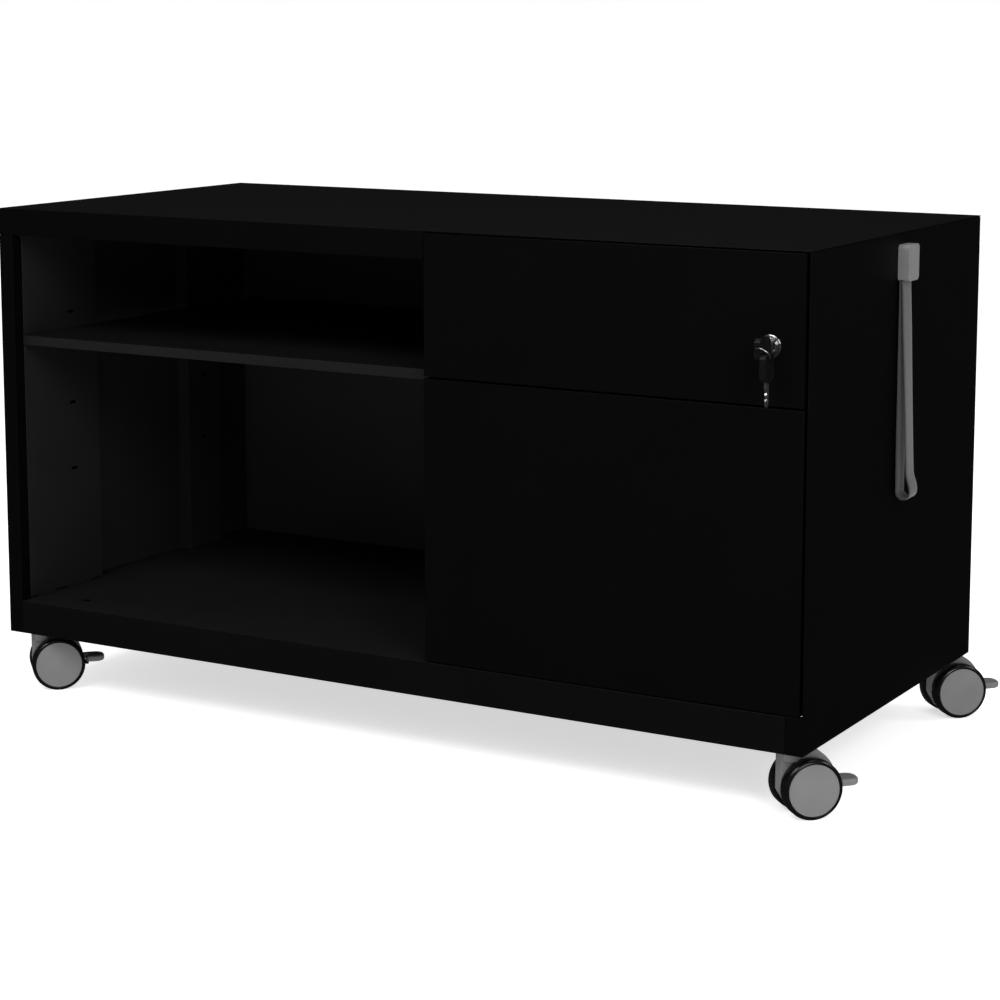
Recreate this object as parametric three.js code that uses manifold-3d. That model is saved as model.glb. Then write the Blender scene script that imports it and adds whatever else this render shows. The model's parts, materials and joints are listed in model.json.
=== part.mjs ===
// Rolling pedestal cabinet: a low sheet-steel caddy on four braked twin-wheel castors.
// The left half is an open bay with one adjustable shelf; the right half holds a shallow drawer
// above a filing drawer, locked together by one cam lock and a lifting bar. A grey strap loop
// hangs from a moulded holder on the right-hand side and is used to pull the cabinet along.
//
// Millimetres, +X to the right, -Y to the front, +Z up, floor at z = 0.

import * as THREE from 'three';
import { mergeVertices } from 'three/addons/utils/BufferGeometryUtils.js';
import Module from 'manifold-3d';

const wasm = await Module();
wasm.setup();

// ---------------------------------------------------------------- driving dimensions

const WIDTH = 900;
const DEPTH = 420;
const BODY_HEIGHT = 444;
const GROUND_CLEARANCE = 62;
const SHEET = 1.2;
const GAP = 0.3;

const LEFT = -WIDTH / 2;
const RIGHT = WIDTH / 2;
const FRONT = -DEPTH / 2;
const BACK = DEPTH / 2;
const UNDERSIDE = GROUND_CLEARANCE;
const TOP = GROUND_CLEARANCE + BODY_HEIGHT;

// The origin lies under the middle of the whole object, castor pedals and keys included.
const ORIGIN = { x: 13.5, y: -3.5 };

const SIDE_THICKNESS = 17;
const FLANGE_RETURN = 14;
const RAIL_HEIGHT = 27;
const RAIL_RETURN = 15;
const RAIL_BOTTOM = TOP - RAIL_HEIGHT;
const PLINTH_HEIGHT = 34;
const FLOOR_TOP = UNDERSIDE + PLINTH_HEIGHT;
const BACK_UPSTAND = 12;
const LINING_TOP = TOP - SHEET - GAP;

const GUSSET = { size: 60, thickness: 2 };
const JACK_HOLE = { x: LEFT + 73, y: FRONT + 36.5, radius: 5 };

// Relief notches: one at the top of the left flange's return, three along the wall's foot.
const FLANGE_NOTCH = { start: FRONT + 7, height: 5 };
const FOOT_NOTCHES = { starts: [FRONT + 6, FRONT + 55, FRONT + 112], length: 19, height: 1.6 };

// Inner side linings: flat shelf uprights at the front and rear, recessed between and behind.
const UPRIGHT = { frontEnd: FRONT + 132, rearStart: FRONT + 291, rearEnd: FRONT + 350 };
const RIGHT_LINING_START = FRONT + 42;

const DIVIDER = { left: 62, right: 75, wall: 1 };

const SHELF = { top: UNDERSIDE + 312.5, lip: 10, front: FRONT + 12, back: BACK - 10, sideGap: 0.6 };
const SLOT = { width: 10, height: 3, frontY: FRONT + 90, rearY: FRONT + 320 };
const CLIP = { width: 14, height: 3.2, reach: 12, tongueHeight: 2, tongueReach: 4 };
const CLIP_TOP = SHELF.top - SHELF.lip - GAP;
const SLOT_HEIGHTS = [UNDERSIDE + 161, UNDERSIDE + 232, CLIP_TOP - 1.6, UNDERSIDE + 329];

const DRAWER_FRONT = { left: 62, right: 446, depth: 18 };
const UPPER_FRONT = { bottom: 370, top: TOP - SHEET - 1 };
const LOWER_FRONT = { bottom: FLOOR_TOP + 1.5, top: 368 };
const TRAY = { left: 88, right: 420 };
const UPPER_TRAY = { front: FRONT + 30, back: BACK - 35, bottom: 376, top: 462 };
const LOWER_TRAY = { front: FRONT + 18.3, back: BACK - 30, bottom: 104, top: 304 };
const CATCH = { right: 443, front: FRONT + 31, back: FRONT + 34, height: 10 };
const UPPER_CATCH_Z = 392;
const LOWER_CATCH_Z = 290;

const SLIDE = { start: FRONT + 42, end: FRONT + 392 };
const UPPER_SLIDE_Z = 424;
const LOWER_SLIDE_Z = 190;

const LOCK = { x: 413.8, z: UNDERSIDE + 360.3, segments: 24 };
const CAM = { front: FRONT + 22.8, thickness: 2.5, hub: 6, reach: 28, halfWidth: 4 };
const LOCK_BAR = { left: 446, right: 447.5, front: FRONT + 25, back: FRONT + 35, bottom: 256, top: 470 };
const LOCK_BAR_TRAVEL = 10;
const GUIDE_HEIGHTS = [262, 458];

const KEY = {
  bladeLength: 19,
  bladeWidth: 2.1,
  bladeHeight: 6,
  bowLength: 24,
  bowHeight: 19.5,
  thickness: 5.6,
  corner: 5,
};
const KEY_HOLE = { fromEnd: 5, below: 6.5, radius: 2.4 };
const SPARE_KEY_X = LOCK.x + 7.3;
const SPARE_KEY_TOP = LOCK.z - 3.5;

const HOLDER = { y0: FRONT + 199.4, y1: FRONT + 225.4, reach: 11, bottom: 461.5, top: 495, corner: 4 };
const STRAP = {
  width: 20,
  thickness: 2,
  bottom: 257,
  topHalf: 2.75,
  belly: 14.9,
  neck: { out: 11.6, up: 27 },
};

const CASTOR = {
  inset: { x: 22.5, y: 23.4 },
  turn: Math.PI / 4,
  trail: 15.3,
  wheelRadius: 27.5,
  wheelInner: 7.2,
  wheelOuter: 22.7,
  webHalf: 6.8,
  webRadius: 25.5,
  hood: { x: -9.7, radius: 37 },
  faceX: -25.9,
  axleRadius: 3,
  stemRadius: 5.5,
};
const PEDAL = {
  pivotX: 22,
  pivotZ: 3,
  start: 29.5,
  tip: 49,
  halfWidth: 11,
  bottom: -2.3,
  top: 4.1,
  shank: { bottom: 0, top: 5.5 },
};

// ---------------------------------------------------------------- materials

const finishes = {
  panel: { color: 0x0c0c0d, roughness: 0.5, metalness: 0.2 },
  steel: { color: 0x9a9da0, roughness: 0.35, metalness: 1 },
  chrome: { color: 0xd8d9da, roughness: 0.12, metalness: 1 },
  greyPlastic: { color: 0x7c7d7e, roughness: 0.5, metalness: 0 },
  blackPlastic: { color: 0x101011, roughness: 0.45, metalness: 0 },
  tyre: { color: 0x0b0b0c, roughness: 0.7, metalness: 0 },
  strap: { color: 0x4a4a4b, roughness: 0.8, metalness: 0 },
};

// ---------------------------------------------------------------- geometry helpers

const MERGE_DISTANCE = 0.002;

// The corners are set exactly, so that boxes that share a plane share it to the last bit.
function box(x0, x1, y0, y1, z0, z1) {
  const geometry = new THREE.BoxGeometry(1, 1, 1);
  const corners = geometry.attributes.position;
  for (let i = 0; i < corners.count; i += 1) {
    corners.setX(i, corners.getX(i) < 0 ? x0 : x1);
    corners.setY(i, corners.getY(i) < 0 ? y0 : y1);
    corners.setZ(i, corners.getZ(i) < 0 ? z0 : z1);
  }
  return geometry;
}

function toSolid(geometry) {
  const plain = geometry.clone();
  plain.deleteAttribute('normal');
  plain.deleteAttribute('uv');
  const merged = mergeVertices(plain, 1e-4);
  const vertProperties = new Float32Array(merged.attributes.position.array);
  const triVerts = new Uint32Array(merged.index.array);
  return new wasm.Manifold(new wasm.Mesh({ numProp: 3, vertProperties, triVerts }));
}

// Flat faces that lie in one plane are merged first, so that no slivers are left where boxes meet.
function toGeometry(solid) {
  const mesh = solid.asOriginal().simplify(MERGE_DISTANCE).getMesh();
  const geometry = new THREE.BufferGeometry();
  geometry.setAttribute('position', new THREE.BufferAttribute(new Float32Array(mesh.vertProperties), 3));
  geometry.setIndex(new THREE.BufferAttribute(new Uint32Array(mesh.triVerts), 1));
  return geometry;
}

function join(...geometries) {
  return toGeometry(geometries.map(toSolid).reduce((sum, next) => sum.add(next)));
}

function cut(geometry, ...tools) {
  return toGeometry(tools.map(toSolid).reduce((rest, tool) => rest.subtract(tool), toSolid(geometry)));
}

// An outline drawn in the plane seen along +Y (x to the right, z up), extruded from y0 to y1.
function extrudeAlongY(shape, y0, y1, curveSegments = 12) {
  const geometry = new THREE.ExtrudeGeometry(shape, { depth: y1 - y0, bevelEnabled: false, curveSegments });
  return geometry.rotateX(Math.PI / 2).translate(0, y1, 0);
}

// An outline drawn in the plane seen along -X (y to the right, z up), extruded from x0 to x1.
function extrudeAlongX(shape, x0, x1, curveSegments = 8) {
  const geometry = new THREE.ExtrudeGeometry(shape, { depth: x1 - x0, bevelEnabled: false, curveSegments });
  return geometry.rotateX(Math.PI / 2).rotateZ(Math.PI / 2).translate(x0, 0, 0);
}

function extrudeAlongZ(shape, z0, z1, curveSegments = 8) {
  const geometry = new THREE.ExtrudeGeometry(shape, { depth: z1 - z0, bevelEnabled: false, curveSegments });
  return geometry.translate(0, 0, z0);
}

function roundedRectangle(x0, x1, y0, y1, r) {
  const shape = new THREE.Shape();
  shape.moveTo(x0 + r, y0);
  shape.lineTo(x1 - r, y0);
  shape.absarc(x1 - r, y0 + r, r, -Math.PI / 2, 0);
  shape.lineTo(x1, y1 - r);
  shape.absarc(x1 - r, y1 - r, r, 0, Math.PI / 2);
  shape.lineTo(x0 + r, y1);
  shape.absarc(x0 + r, y1 - r, r, Math.PI / 2, Math.PI);
  shape.lineTo(x0, y0 + r);
  shape.absarc(x0 + r, y0 + r, r, Math.PI, Math.PI * 1.5);
  return shape;
}

// A body of revolution about the Y axis through (x, z); profile points are [radius, y].
function turned(profile, segments, x = 0, z = 0) {
  const points = profile.map(([r, y]) => new THREE.Vector2(r, y));
  return new THREE.LatheGeometry(points, segments).translate(x, 0, z);
}

function cylinderAlongY(radius, y0, y1, x, z, segments = 16) {
  const geometry = new THREE.CylinderGeometry(radius, radius, y1 - y0, segments);
  return geometry.translate(x, (y0 + y1) / 2, z);
}

function cylinderAlongZ(radius, z0, z1, x, y, segments = 16) {
  const geometry = new THREE.CylinderGeometry(radius, radius, z1 - z0, segments);
  return geometry.rotateX(Math.PI / 2).translate(x, y, (z0 + z1) / 2);
}

function cylinderAlongX(radius, x0, x1, y, z, segments = 16) {
  const geometry = new THREE.CylinderGeometry(radius, radius, x1 - x0, segments);
  return geometry.rotateZ(Math.PI / 2).translate((x0 + x1) / 2, y, z);
}

function node(parent, name, finish, geometry) {
  const mesh = new THREE.Mesh(geometry, new THREE.MeshStandardMaterial(finishes[finish]));
  mesh.name = name;
  parent.add(mesh);
  return mesh;
}

// Everything on the drawer side is symmetrical about the middle of the drawer opening.
const DRAWER_MIDDLE = (TRAY.left + TRAY.right) / 2;

function mirroredInX(geometry, middle) {
  const positions = geometry.attributes.position;
  for (let i = 0; i < positions.count; i += 1) {
    positions.setX(i, 2 * middle - positions.getX(i));
  }
  const index = geometry.index.array;
  for (let i = 0; i < index.length; i += 3) {
    [index[i], index[i + 1]] = [index[i + 1], index[i]];
  }
  return geometry;
}

// ---------------------------------------------------------------- carcass

function shelfSlots(x0, x1) {
  return [SLOT.frontY, SLOT.rearY].flatMap((y) =>
    SLOT_HEIGHTS.map((z) =>
      box(x0, x1, y - SLOT.width / 2, y + SLOT.width / 2, z - SLOT.height / 2, z + SLOT.height / 2)));
}

function footNotches(x0, x1) {
  const { starts, length, height } = FOOT_NOTCHES;
  return starts.map((y) => box(x0, x1, y, y + length, FLOOR_TOP, FLOOR_TOP + height));
}

// The left panel's front flange ends under the top panel's rail, which runs across it.
function addSidePanels(cabinet) {
  const inner = LEFT + SIDE_THICKNESS;
  const flangeEnd = RAIL_BOTTOM - GAP;
  const left = cut(
    join(
      box(LEFT, LEFT + SHEET, FRONT, BACK, UNDERSIDE, LINING_TOP),
      box(LEFT, inner, FRONT, FRONT + SHEET, UNDERSIDE, flangeEnd),
      box(inner - SHEET, inner, FRONT, FRONT + FLANGE_RETURN, UNDERSIDE, flangeEnd),
      box(LEFT, inner, BACK - SHEET, BACK, UNDERSIDE, LINING_TOP),
    ),
    box(LEFT - 1, inner, FRONT - 1, FRONT + SHEET + GAP, flangeEnd, TOP),
    box(inner - 2 * SHEET, inner + 1, FLANGE_NOTCH.start, FRONT + 20, flangeEnd - FLANGE_NOTCH.height, TOP),
    ...footNotches(inner - 2 * SHEET, inner + 1),
  );
  node(cabinet, 'left_side_panel', 'panel', left);

  // The right panel's front flange stands only beside the plinth; the drawers close the rest.
  // Two bridges on its inside guide the lock bar.
  const rightInner = RIGHT - SIDE_THICKNESS;
  const flangeTop = FLOOR_TOP + 1;
  const clearance = 0.4;
  const bridges = GUIDE_HEIGHTS.map((z) =>
    cut(
      box(LOCK_BAR.left - 1.3, RIGHT - SHEET, LOCK_BAR.front - 3, LOCK_BAR.back + 3, z, z + 6),
      box(
        LOCK_BAR.left - clearance, LOCK_BAR.right + clearance,
        LOCK_BAR.front - clearance, LOCK_BAR.back + clearance, z - 1, z + 7,
      ),
    ));
  const right = join(
    box(RIGHT - SHEET, RIGHT, FRONT, BACK, UNDERSIDE, LINING_TOP),
    box(rightInner, RIGHT, FRONT, FRONT + SHEET, UNDERSIDE, flangeTop),
    box(rightInner, rightInner + SHEET, FRONT, FRONT + FLANGE_RETURN, UNDERSIDE, flangeTop),
    box(rightInner, RIGHT, BACK - SHEET, BACK, UNDERSIDE, LINING_TOP),
    ...bridges,
  );
  node(cabinet, 'right_side_panel', 'panel', right);
}

function lining(start) {
  const face = LEFT + SIDE_THICKNESS;
  const deep = LEFT + SHEET + GAP;
  const { frontEnd, rearStart, rearEnd } = UPRIGHT;
  const z0 = FLOOR_TOP + GAP;
  return join(
    box(deep, face, start, start + SHEET, z0, LINING_TOP),
    box(face - SHEET, face, start, frontEnd, z0, LINING_TOP),
    box(deep, face, frontEnd - SHEET, frontEnd, z0, LINING_TOP),
    box(deep, deep + SHEET, frontEnd - SHEET, rearStart + SHEET, z0, LINING_TOP),
    box(deep, face, rearStart, rearStart + SHEET, z0, LINING_TOP),
    box(face - SHEET, face, rearStart, rearEnd, z0, LINING_TOP),
    box(deep, face, rearEnd - SHEET, rearEnd, z0, LINING_TOP),
    box(deep, deep + SHEET, rearEnd - SHEET, BACK - 3, z0, LINING_TOP),
  );
}

function addLinings(cabinet) {
  const face = LEFT + SIDE_THICKNESS;
  const left = cut(
    lining(FRONT + FLANGE_RETURN + GAP),
    ...shelfSlots(LEFT + 5, face + 1),
    ...footNotches(face - 2 * SHEET, face + 1),
  );
  node(cabinet, 'left_inner_lining', 'panel', left);
  node(cabinet, 'right_inner_lining', 'panel', mirroredInX(lining(RIGHT_LINING_START), 0));
}

function addTopPanel(cabinet) {
  const inner = WIDTH / 2 - SIDE_THICKNESS - GAP;
  const railRight = DRAWER_FRONT.left - 1;
  const top = join(
    box(LEFT, RIGHT, FRONT, BACK, TOP - SHEET, TOP),
    box(LEFT, railRight, FRONT, FRONT + SHEET, RAIL_BOTTOM, TOP),
    box(-inner, railRight, FRONT, FRONT + RAIL_RETURN, RAIL_BOTTOM, RAIL_BOTTOM + SHEET),
    box(-inner, inner, BACK - SHEET, BACK, RAIL_BOTTOM, TOP),
  );
  node(cabinet, 'top_panel', 'panel', top);
}

function castorPositions() {
  const x = WIDTH / 2 - CASTOR.inset.x;
  const y = DEPTH / 2 - CASTOR.inset.y;
  return [['front_left', -x, -y], ['front_right', x, -y], ['rear_left', -x, y], ['rear_right', x, y]];
}

function addBasePanel(cabinet) {
  const inner = WIDTH / 2 - SIDE_THICKNESS - GAP;
  const outer = WIDTH / 2 - SHEET - GAP;
  const edge = DEPTH / 2 - SHEET - GAP;
  const plates = castorPositions().map(([, x, y]) => {
    const [x0, x1] = x < 0 ? [-outer, GUSSET.size - outer] : [outer - GUSSET.size, outer];
    const [y0, y1] = y < 0 ? [-edge, GUSSET.size - edge] : [edge - GUSSET.size, edge];
    return box(x0, x1, y0, y1, UNDERSIDE, UNDERSIDE + GUSSET.thickness);
  });
  const base = join(
    box(-inner, inner, FRONT, edge, FLOOR_TOP - SHEET, FLOOR_TOP),
    box(-outer, outer, FRONT + FLANGE_RETURN + GAP, edge, FLOOR_TOP - SHEET, FLOOR_TOP),
    box(-inner, inner, FRONT, FRONT + SHEET, UNDERSIDE, FLOOR_TOP),
    box(-inner, inner, BACK - SHEET, BACK, UNDERSIDE, FLOOR_TOP + BACK_UPSTAND),
    box(-inner, inner, edge - SHEET, BACK, FLOOR_TOP - SHEET, FLOOR_TOP),
    box(-inner, inner, FRONT, FRONT + 20, UNDERSIDE, UNDERSIDE + SHEET),
    box(-inner, inner, BACK - 20, BACK, UNDERSIDE, UNDERSIDE + SHEET),
    ...plates,
  );
  const returnNotches = [-1, 1].map((side) => {
    const near = side * (inner + 0.5 * GAP);
    const far = side * (inner + 2 * SHEET);
    return box(Math.min(near, far), Math.max(near, far), FRONT - 1, FRONT + FLANGE_RETURN + GAP, 0, TOP);
  });
  const stemHoles = castorPositions().map(([, x, y]) =>
    cylinderAlongZ(CASTOR.stemRadius + GAP, UNDERSIDE - 1, UNDERSIDE + GUSSET.thickness + 1, x, y));
  const jackHole = cylinderAlongZ(JACK_HOLE.radius, FLOOR_TOP - 5, FLOOR_TOP + 5, JACK_HOLE.x, JACK_HOLE.y);
  node(cabinet, 'base_panel', 'panel', cut(base, ...returnNotches, ...stemHoles, jackHole));
}

function addBackPanel(cabinet) {
  const half = WIDTH / 2 - SHEET - GAP - 1.7;
  const rear = BACK - SHEET - GAP;
  node(cabinet, 'back_panel', 'panel', box(-half, half, rear - SHEET, rear, FLOOR_TOP + GAP, LINING_TOP));
}

function addDivider(cabinet) {
  const { left, right, wall } = DIVIDER;
  const y0 = FRONT + DRAWER_FRONT.depth + 0.5;
  const y1 = BACK - 3;
  const z0 = FLOOR_TOP + GAP;
  const tube = cut(
    box(left, right, y0, y1, z0, LINING_TOP),
    box(left + wall, right - wall, y0 + wall, y1 - wall, z0 - 1, LINING_TOP + 1),
    ...shelfSlots(left - 1, left + wall + 1),
  );
  node(cabinet, 'divider_panel', 'panel', tube);
}

function addShelf(cabinet) {
  const x0 = LEFT + SIDE_THICKNESS + SHELF.sideGap;
  const x1 = DIVIDER.left - SHELF.sideGap;
  const z0 = SHELF.top - SHELF.lip;
  const shelf = join(
    box(x0, x1, SHELF.front, SHELF.back, SHELF.top - SHEET, SHELF.top),
    box(x0, x1, SHELF.front, SHELF.front + SHEET, z0, SHELF.top),
    box(x0, x1, SHELF.front, SHELF.front + 12, z0, z0 + SHEET),
    box(x0, x1, SHELF.back - SHEET, SHELF.back, z0, SHELF.top),
    box(x0, x0 + SHEET, SHELF.front, SHELF.back, z0, SHELF.top),
    box(x1 - SHEET, x1, SHELF.front, SHELF.back, z0, SHELF.top),
  );
  node(cabinet, 'shelf', 'panel', shelf);

  const z1 = CLIP_TOP;
  const tongueZ = z1 - 1.6;
  [['front', SLOT.frontY], ['rear', SLOT.rearY]].forEach(([place, y]) => {
    [['left', LEFT + SIDE_THICKNESS, 1], ['right', DIVIDER.left, -1]].forEach(([side, wallX, inward]) => {
      const span = (from, to) => [wallX + inward * from, wallX + inward * to].sort((a, b) => a - b);
      const clip = join(
        box(...span(GAP, CLIP.reach), y - CLIP.width / 2, y + CLIP.width / 2, z1 - CLIP.height, z1),
        box(
          ...span(-CLIP.tongueReach, GAP + 1), y - SLOT.width / 2 + 1, y + SLOT.width / 2 - 1,
          tongueZ - CLIP.tongueHeight / 2, tongueZ + CLIP.tongueHeight / 2,
        ),
      );
      node(cabinet, `shelf_clip_${place}_${side}`, 'steel', clip);
    });
  });
}

// ---------------------------------------------------------------- drawers and slides

function drawerFront({ bottom, top }) {
  const { left, right, depth } = DRAWER_FRONT;
  return cut(
    box(left, right, FRONT, FRONT + depth, bottom, top),
    box(left + SHEET, right - SHEET, FRONT + SHEET, FRONT + depth + 1, bottom + SHEET, top - SHEET),
  );
}

function tray({ front, back, bottom, top }, catchZ) {
  return join(
    cut(
      box(TRAY.left, TRAY.right, front, back, bottom, top),
      box(TRAY.left + SHEET, TRAY.right - SHEET, front + SHEET, back - SHEET, bottom + SHEET, top + 1),
    ),
    box(TRAY.left, TRAY.right, FRONT + DRAWER_FRONT.depth + GAP, front + SHEET, bottom, bottom + SHEET),
    box(TRAY.right - SHEET, CATCH.right, CATCH.front, CATCH.back, catchZ, catchZ + CATCH.height),
  );
}

// A C-shaped slide member: upright web and two lips, height measured over the lips.
function channel(webLeft, lipEnd, middleZ, height) {
  const webRight = webLeft + SHEET;
  const [x0, x1] = [Math.min(webLeft, lipEnd), Math.max(webRight, lipEnd)];
  const z0 = middleZ - height / 2;
  const z1 = middleZ + height / 2;
  return join(
    box(webLeft, webRight, SLIDE.start, SLIDE.end, z0, z1),
    box(x0, x1, SLIDE.start, SLIDE.end, z0, z0 + SHEET),
    box(x0, x1, SLIDE.start, SLIDE.end, z1 - SHEET, z1),
  );
}

function addDrawers(cabinet) {
  const lockHole = cylinderAlongY(9.6, FRONT - 1, FRONT + 3, LOCK.x, LOCK.z, LOCK.segments);
  node(cabinet, 'upper_drawer_front', 'panel', cut(drawerFront(UPPER_FRONT), lockHole));
  node(cabinet, 'upper_drawer_tray', 'panel', tray(UPPER_TRAY, UPPER_CATCH_Z));
  node(cabinet, 'lower_drawer_front', 'panel', drawerFront(LOWER_FRONT));
  node(cabinet, 'lower_drawer_tray', 'panel', tray(LOWER_TRAY, LOWER_CATCH_Z));

  const wall = RIGHT - SIDE_THICKNESS;
  const cabinetWeb = wall - GAP - SHEET;
  const drawerWeb = TRAY.right + GAP;
  const members = [
    ['upper_slide_cabinet_rail', cabinetWeb, wall - 9.8, UPPER_SLIDE_Z, 44],
    ['upper_slide_drawer_rail', drawerWeb, TRAY.right + 10.5, UPPER_SLIDE_Z, 37],
    ['lower_slide_cabinet_rail', cabinetWeb, wall - 9.8, LOWER_SLIDE_Z, 44],
    ['lower_slide_middle_member', cabinetWeb - SHEET - 0.4, wall - 10.6, LOWER_SLIDE_Z, 38],
    ['lower_slide_drawer_rail', drawerWeb, TRAY.right + 8.5, LOWER_SLIDE_Z, 32],
  ];
  members.forEach(([name, web, lipEnd, z, height]) => {
    node(cabinet, `${name}_right`, 'steel', channel(web, lipEnd, z, height));
    node(cabinet, `${name}_left`, 'steel', mirroredInX(channel(web, lipEnd, z, height), DRAWER_MIDDLE));
  });
}

// ---------------------------------------------------------------- lock and keys

function addLock(cabinet) {
  const { x, z, segments } = LOCK;
  const bore = 6.35;
  const barrel = turned(
    [[bore, FRONT + 20], [bore, FRONT - 2.2], [9.4, FRONT - 2.2], [10.4, FRONT - 1.4],
      [10.4, FRONT - GAP], [9.3, FRONT - GAP], [9.3, FRONT + 20], [bore, FRONT + 20]],
    segments, x, z,
  );
  node(cabinet, 'lock_barrel', 'chrome', barrel);

  const keyway = box(x - 1.35, x + 1.35, FRONT - 5, FRONT + 21, z - 4.3, z + 4.3);
  const plug = cylinderAlongY(6, FRONT - 1.8, FRONT + 22.5, x, z, segments);
  node(cabinet, 'lock_plug', 'chrome', cut(plug, keyway));

  const cam = join(
    cylinderAlongY(CAM.hub, CAM.front, CAM.front + CAM.thickness, x, z),
    box(x - CAM.halfWidth, x + CAM.halfWidth, CAM.front, CAM.front + CAM.thickness, z - CAM.reach, z),
  );
  node(cabinet, 'lock_cam', 'steel', cam);

  // At rest the bar's fingers stand below the drawers' catches; the turned cam lifts them in front.
  const finger = { left: 434, front: FRONT + 26, back: FRONT + 29, height: 10, drop: 12 };
  const lugBottom = z + CAM.halfWidth + GAP - LOCK_BAR_TRAVEL;
  const bar = join(
    box(LOCK_BAR.left, LOCK_BAR.right, LOCK_BAR.front, LOCK_BAR.back, LOCK_BAR.bottom, LOCK_BAR.top),
    box(
      finger.left, LOCK_BAR.right, CAM.front - GAP, CAM.front + CAM.thickness + GAP,
      lugBottom, lugBottom + 4,
    ),
    ...[UPPER_CATCH_Z, LOWER_CATCH_Z].map((catchZ) => box(
      finger.left, LOCK_BAR.right, finger.front, finger.back,
      catchZ - finger.drop, catchZ - finger.drop + finger.height,
    )),
  );
  node(cabinet, 'lock_bar', 'steel', bar);
}

// A key lying in the plane x = 0 with its blade along +Y from the origin and its bow toward -Y.
function key(bladeLength, holeSide) {
  const halfHeight = KEY.bowHeight / 2;
  const bow = extrudeAlongX(
    roundedRectangle(-KEY.bowLength - 3, -3, -halfHeight, halfHeight, KEY.corner),
    -KEY.thickness / 2, KEY.thickness / 2, 4,
  );
  const collar = box(-1.8, 1.8, -4, -0.5, -5, 5);
  const blade = box(
    -KEY.bladeWidth / 2, KEY.bladeWidth / 2, -4, bladeLength,
    -KEY.bladeHeight / 2, KEY.bladeHeight / 2,
  );
  const holeY = -KEY.bowLength - 3 + KEY_HOLE.fromEnd;
  const hole = cylinderAlongX(KEY_HOLE.radius, -5, 5, holeY, holeSide * KEY_HOLE.below, 12);
  return cut(join(bow, collar, blade), hole);
}

function addKeys(cabinet) {
  const inLock = node(cabinet, 'key', 'blackPlastic', key(KEY.bladeLength, -1));
  inLock.position.set(LOCK.x, FRONT - 1.8 - GAP, LOCK.z);

  // The spare hangs bow up and blade down from the first key's bow.
  const holeY = FRONT - 1.8 - GAP - KEY.bowLength - 3 + KEY_HOLE.fromEnd;
  const spare = node(cabinet, 'spare_key', 'blackPlastic', key(KEY.bladeLength, 0));
  spare.rotation.x = -Math.PI / 2;
  spare.position.set(SPARE_KEY_X, holeY, SPARE_KEY_TOP - KEY.bowLength - 3);
}

// ---------------------------------------------------------------- strap handle

function addStrap(cabinet) {
  const { y0, y1, reach, bottom, top, corner } = HOLDER;
  const holder = extrudeAlongX(roundedRectangle(y0, y1, bottom, top, corner), RIGHT + GAP, RIGHT + reach, 4);
  node(cabinet, 'strap_holder', 'greyPlastic', holder);

  // One band folded into a narrow drop: it hangs flat at the back, bulges outward at the fold and
  // runs up in a nearly straight line to the holder.
  const back = RIGHT + 1;
  const pivot = { x: back + STRAP.topHalf, z: bottom - STRAP.topHalf - GAP };
  const fold = STRAP.belly / 2;
  const foldZ = STRAP.bottom + fold;
  const neckX = back + STRAP.neck.out;
  const neckZ = STRAP.bottom + STRAP.neck.up;
  const outline = new THREE.Shape();
  outline.moveTo(back, foldZ);
  outline.absarc(back + fold, foldZ, fold, Math.PI, Math.PI * 2);
  outline.bezierCurveTo(back + STRAP.belly, foldZ + 7.5, neckX + 0.4, neckZ - 8, neckX, neckZ);
  outline.bezierCurveTo(
    neckX - 2.5, neckZ + 60, pivot.x + STRAP.topHalf + 1.5, pivot.z - 60,
    pivot.x + STRAP.topHalf, pivot.z,
  );
  outline.absarc(pivot.x, pivot.z, STRAP.topHalf, 0, Math.PI);
  outline.lineTo(back, foldZ);
  const inset = STRAP.thickness;
  const gapTop = STRAP.bottom + 120;
  const innerX = neckX - inset;
  const opening = new THREE.Path();
  opening.moveTo(back + inset, foldZ);
  opening.absarc(back + fold, foldZ, fold - inset, Math.PI, Math.PI * 2);
  opening.bezierCurveTo(
    back + STRAP.belly - inset, foldZ + 7.5, innerX + 0.4, neckZ - 8, innerX, neckZ,
  );
  opening.bezierCurveTo(innerX - 0.7, neckZ + 25, innerX - 2.1, neckZ + 63, back + inset + 1.5, gapTop);
  opening.lineTo(back + inset, gapTop);
  opening.lineTo(back + inset, foldZ);
  outline.holes.push(opening);
  const middle = (y0 + y1) / 2;
  const strap = extrudeAlongY(outline, middle - STRAP.width / 2, middle + STRAP.width / 2, 8);
  node(cabinet, 'strap_loop', 'strap', strap);
}

// ---------------------------------------------------------------- castors

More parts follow.
